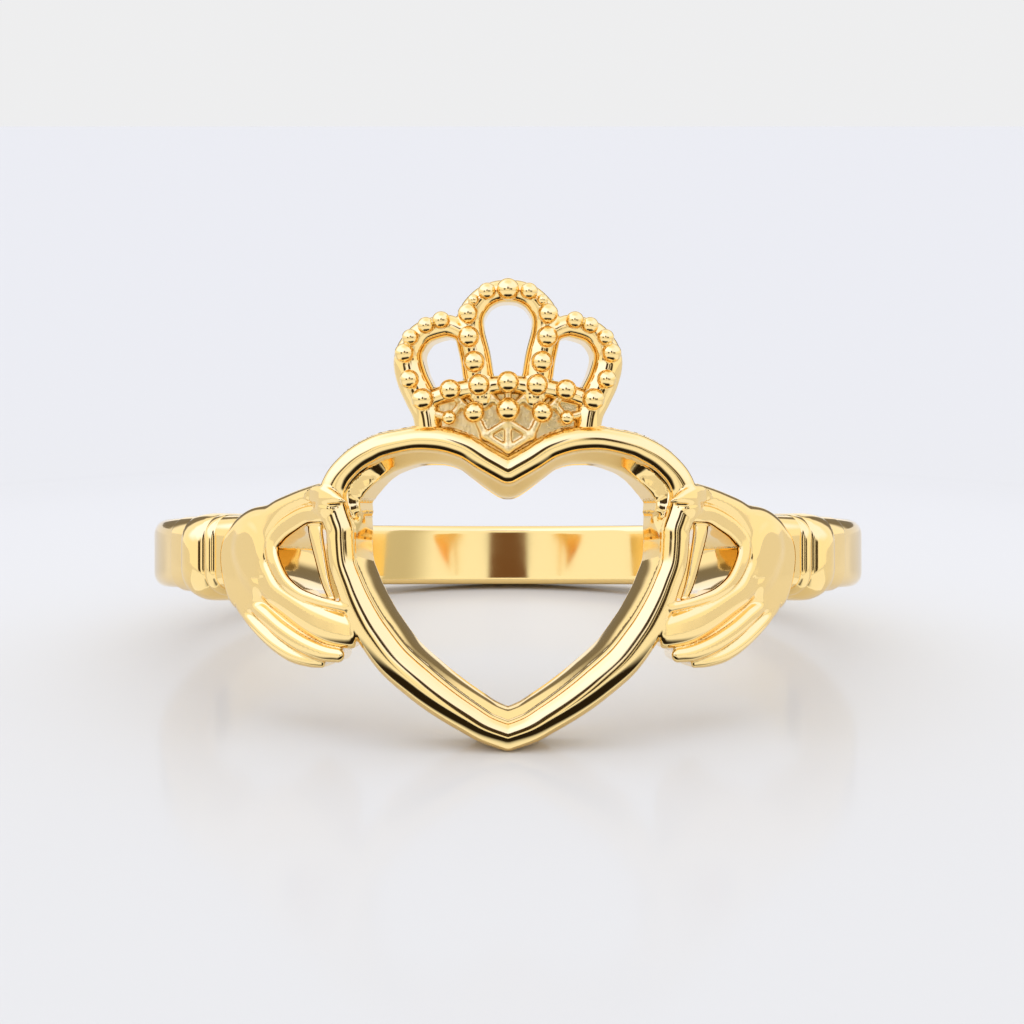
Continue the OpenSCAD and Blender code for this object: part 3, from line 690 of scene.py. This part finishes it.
def gold_material(name, smooth, rough, grain):
    """Gold from a smooth to a rough polish, with a fine grain of this strength."""
    mat = bpy.data.materials.new(name)
    mat.use_nodes = True
    tree = mat.node_tree
    shader = tree.nodes["Principled BSDF"]
    shader.inputs["Metallic"].default_value = 1.0
    shader.inputs["Base Color"].default_value = GOLD_COLOUR
    g = Nodes(tree)
    noise = g.node("ShaderNodeTexNoise")
    noise.inputs["Scale"].default_value = 900.0
    noise.inputs["Detail"].default_value = 2.0
    tree.links.new(g.node("ShaderNodeTexCoord").outputs["Object"], noise.inputs["Vector"])
    g.put(shader.inputs["Roughness"], g.ramp(noise.outputs["Fac"], 0.3, 0.7, smooth, rough))
    if grain:
        fine = g.node("ShaderNodeTexNoise")
        fine.inputs["Scale"].default_value = 9000.0
        tree.links.new(g.node("ShaderNodeTexCoord").outputs["Object"], fine.inputs["Vector"])
        relief = g.node("ShaderNodeBump")
        relief.inputs["Strength"].default_value = grain
        relief.inputs["Distance"].default_value = 0.03 * MM
        tree.links.new(fine.outputs["Fac"], relief.inputs["Height"])
        tree.links.new(relief.outputs["Normal"], shader.inputs["Normal"])
    return mat


gold = gold_material("polished_gold", 0.06, 0.10, 0)
satin = gold_material("satin_gold", 0.24, 0.34, 0.5)
band = make_piece("band", *band_sweep(), gold)

# Cell sizes of the surfaces. The heart ends a little inside the hands' surface, which starts at
# HANDS_START from the middle. Each surface lies in a box from its low to its high corner.
HEART_CELL, HANDS_CELL, CROWN_CELL, CROWN_FLOOR_CELL = 0.056, 0.048, 0.038, 0.048
HANDS_START, HEART_END = 3.90, 3.97
heart = make_piece("heart", *surface(
    head_form, (-HEART_CELL / 2, -12.0, -5.3), (HEART_END, -8.9, 3.5), HEART_CELL), gold)
hands = make_piece("hands", *surface(
    head_form, (HANDS_START, -12.0, -3.6), (8.6, -5.6, 2.6), HANDS_CELL), gold)
crown = make_piece("crown", *surface(
    crown_form, (-CROWN_CELL / 2, -12.0, 1.6), (3.3, -9.9, 7.0), CROWN_CELL), gold)
crown_floor = make_piece("crown_floor", *surface(
    crown_floor_form, (-CROWN_FLOOR_CELL / 2, -12.0, 1.6), (2.4, -9.9, 4.3), CROWN_FLOOR_CELL), satin)
for piece in (band, heart, hands, crown, crown_floor):
    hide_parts("ring")

# Surface under the ring

FLOOR_TONE = 0.655
FLOOR_SIZE = 8.0


def floor_material():
    mat = bpy.data.materials.new("pale_surface")
    mat.use_nodes = True
    shader = mat.node_tree.nodes["Principled BSDF"]
    shader.inputs["Base Color"].default_value = (FLOOR_TONE, FLOOR_TONE, FLOOR_TONE * 1.003, 1)
    shader.inputs["Roughness"].default_value = 0.13
    # The sheen fades away from the ring, and the far surface meets the backdrop
    g = Nodes(mat.node_tree)
    near = g.node("ShaderNodeVectorMath", operation="LENGTH")
    mat.node_tree.links.new(g.node("ShaderNodeTexCoord").outputs["Object"], near.inputs[0])
    g.put(shader.inputs["Specular IOR Level"], g.ramp(near.outputs["Value"], 0.016, 0.040, 0.02, 0.0))
    return mat


bpy.ops.mesh.primitive_plane_add(size=FLOOR_SIZE, location=(0, 0, 0))
floor = bpy.context.object
floor.name = "surface"
floor.data.materials.append(floor_material())

# Cards that paint reflections, seen only in the polish of the ring, from their front


def card(name, verts, faces, paint):
    """A card whose light at each place is given by its paint, clear from behind."""
    mesh = bpy.data.meshes.new(name)
    mesh.from_pydata(verts, [], faces)
    mat = bpy.data.materials.new(name)
    mat.use_nodes = True
    mat.node_tree.nodes.clear()
    g = Nodes(mat.node_tree)
    at = g.node("ShaderNodeSeparateXYZ")
    g.put(at.inputs[0], g.node("ShaderNodeTexCoord").outputs["Object"])
    x, y, z = (g.math("MULTIPLY", v, 1000.0) for v in at.outputs)
    glow = g.node("ShaderNodeEmission")
    g.put(glow.inputs["Color"], paint(g, x, y, z))
    clear = g.node("ShaderNodeBsdfTransparent")
    mix = g.node("ShaderNodeMixShader")
    bounced = g.node("ShaderNodeLightPath").outputs["Diffuse Depth"]
    g.put(mix.inputs[0], g.math("MAXIMUM", g.node("ShaderNodeNewGeometry").outputs["Backfacing"], bounced))
    g.put(mix.inputs[1], glow.outputs[0])
    g.put(mix.inputs[2], clear.outputs[0])
    g.put(g.node("ShaderNodeOutputMaterial").inputs[0], mix.outputs[0])
    mesh.materials.append(mat)
    obj = bpy.data.objects.new(name, mesh)
    bpy.context.scene.collection.objects.link(obj)
    obj.visible_camera = obj.visible_diffuse = obj.visible_shadow = False
    return obj


def strip(edge_a, edge_b):
    """Vertices and faces between two edges with as many points each."""
    n = len(edge_a)
    return list(edge_a) + list(edge_b), [(i, i + 1, n + i + 1, n + i) for i in range(n - 1)]


def bow(radius, turn, height):
    """Points of a bow in front of the ring, in metres, to this many degrees either side."""
    turns = np.radians(np.linspace(-turn, turn, 61))
    return [(radius * math.sin(a), -radius * math.cos(a), height) for a in turns]


def painted_floor_reflection(g, x, y, z):
    """Painted reflection: bright, with a painted dark patch in front of the heart for the shade that the
    gold mirrors there.
    """
    reach = g.math("SQRT", g.math("ADD", g.times(x, x), g.times(y, y)))
    dark = g.times(g.ramp(reach, 11.3, 11.9), g.ramp(reach, 16.5, 22.5, 1.0, 0.0))
    dark = g.times(dark, g.ramp(g.math("ABSOLUTE", x), 6.0, 10.0, 1.0, 0.0))
    return g.mix(dark, (1.02, 1.07, 1.20), (0.02, 0.015, 0.01))


def painted_band_reflection(g, x, y, z):
    """Painted reflection, what the inside of the band mirrors: bright, with a painted dark square in the
    middle.
    """
    square = g.times(g.ramp(g.math("ABSOLUTE", x), 1.6, 2.0, 1.0, 0.0),
                     g.ramp(z, 2.0, 2.3), g.ramp(z, 7.2, 7.6, 1.0, 0.0))
    sides = g.mix(g.ramp(x, 6.0, 7.6), (1.05, 1.12, 1.25), (0.62, 0.62, 0.60))
    return g.mix(square, sides, (0.17, 0.09, 0.05))


CARD_LIFT = 0.00003
cards = [
    # Painted reflection of a shaded patch of the surface in front of the heart
    card("painted_floor_reflection_card", *strip(bow(0.0600, 75, CARD_LIFT), bow(0.0112, 75, CARD_LIFT)), painted_floor_reflection),
    # Painted reflection inside the band, with a dark square in the middle
    card("painted_band_reflection_card", *strip(bow(0.0080, 85, 0.0102), bow(0.0080, 85, 0.0)), painted_band_reflection),
]

# Camera at the photograph's place, moved with the ring as it settled
scene = bpy.context.scene
cam_data = bpy.data.cameras.new("camera")
cam = bpy.data.objects.new("camera", cam_data)
scene.collection.objects.link(cam)
scene.camera = cam
# Focal length and middle of the photograph, in its pixels
PHOTO, FOCAL, MIDDLE_X = 1024, 2411.6, 508
cam_data.sensor_width = 36
cam_data.lens = FOCAL / PHOTO * cam_data.sensor_width
cam_data.shift_x = (PHOTO / 2 - MIDDLE_X) / PHOTO
cam_data.clip_start = 0.001
# Place over the ring in millimetres and downward tilt in degrees, for the lean seen in the photo
CAMERA_BACK, CAMERA_UP, CAMERA_TILT = 70, 14.76, 8.75
SEEN_LEAN = math.radians(10.06)
extra = LEAN - SEEN_LEAN
up = CAMERA_UP - (10.3 * math.sin(SEEN_LEAN) + BAND_W / 2 * math.cos(SEEN_LEAN))
cam.location = (0, (-CAMERA_BACK * math.cos(extra) + up * math.sin(extra) + SHIFT) * MM,
                (CAMERA_BACK * math.sin(extra) + up * math.cos(extra) + LIFT) * MM)
cam.rotation_euler = (math.radians(90 - CAMERA_TILT) - extra, 0, 0)

# Light tent: soft boxes and dark edges placed by direction. X is right, Y away from the camera, Z up.
EVEN_LIGHT = (1.30, 1.30, 1.31)
BACKDROP = (0.856, 0.856, 0.860)
DARK_CARD = (0.05, 0.035, 0.02)


def light_tent():
    world = bpy.data.worlds.new("tent")
    scene.world = world
    world.use_nodes = True
    g = Nodes(world.node_tree)
    at = g.node("ShaderNodeSeparateXYZ")
    g.put(at.inputs[0], g.node("ShaderNodeTexCoord").outputs["Generated"])
    x, y, z = at.outputs
    wide = g.math("ABSOLUTE", x)

    def box(value, low, high, soft):
        """1 between two values, fading to 0 over a soft edge."""
        return g.times(g.ramp(value, low - soft, low + soft),
                       g.ramp(value, high - soft, high + soft, 1.0, 0.0))

    front = g.ramp(y, -0.05, 0.15, 1.0, 0.0)
    tone = (1.09, 1.09, 1.09)
    # Dark edges round the bright backdrop
    back = g.ramp(y, 0.74, 0.82)
    window = g.times(g.ramp(wide, 0.25, 0.29, 1.0, 0.0), g.ramp(z, 0.40, 0.46, 1.0, 0.0))
    edge = g.times(back, g.math("SUBTRACT", 1.0, window))
    tone = g.mix(edge, tone, (0.22, 0.20, 0.17))
    # A wide overhead box, brighter on the left
    above = g.ramp(y, 0.35, 0.60, 1.0, 0.0)
    over = g.times(above, box(z, 0.28, 0.90, 0.12))
    overhead = g.mix(g.ramp(x, -0.3, 0.3), (1.30, 1.50, 2.5), (1.15, 1.28, 1.9))
    tone = g.mix(over, tone, overhead)
    # Dark cards either side of the camera, one more on its right, and the camera itself
    pair = g.times(front, box(wide, 0.42, 0.70, 0.04), box(z, -0.02, 0.24, 0.04))
    stand = g.times(front, box(x, 0.24, 0.38, 0.03), box(z, -0.4, 0.34, 0.05))
    lens = g.times(front, box(x, -0.13, 0.13, 0.03), box(z, 0.10, 0.50, 0.04))
    for place in (pair, stand, lens):
        tone = g.mix(place, tone, DARK_CARD)
    # An even light on whatever isn't polished, and a plain backdrop for the camera
    path = g.node("ShaderNodeLightPath")
    bounced = g.math("MINIMUM", path.outputs["Diffuse Depth"], 1.0)
    tone = g.mix(bounced, tone, EVEN_LIGHT)
    tone = g.mix(path.outputs["Is Camera Ray"], tone, BACKDROP)
    g.put(world.node_tree.nodes["Background"].inputs["Color"], tone)


light_tent()
scene.view_settings.view_transform = "Standard"
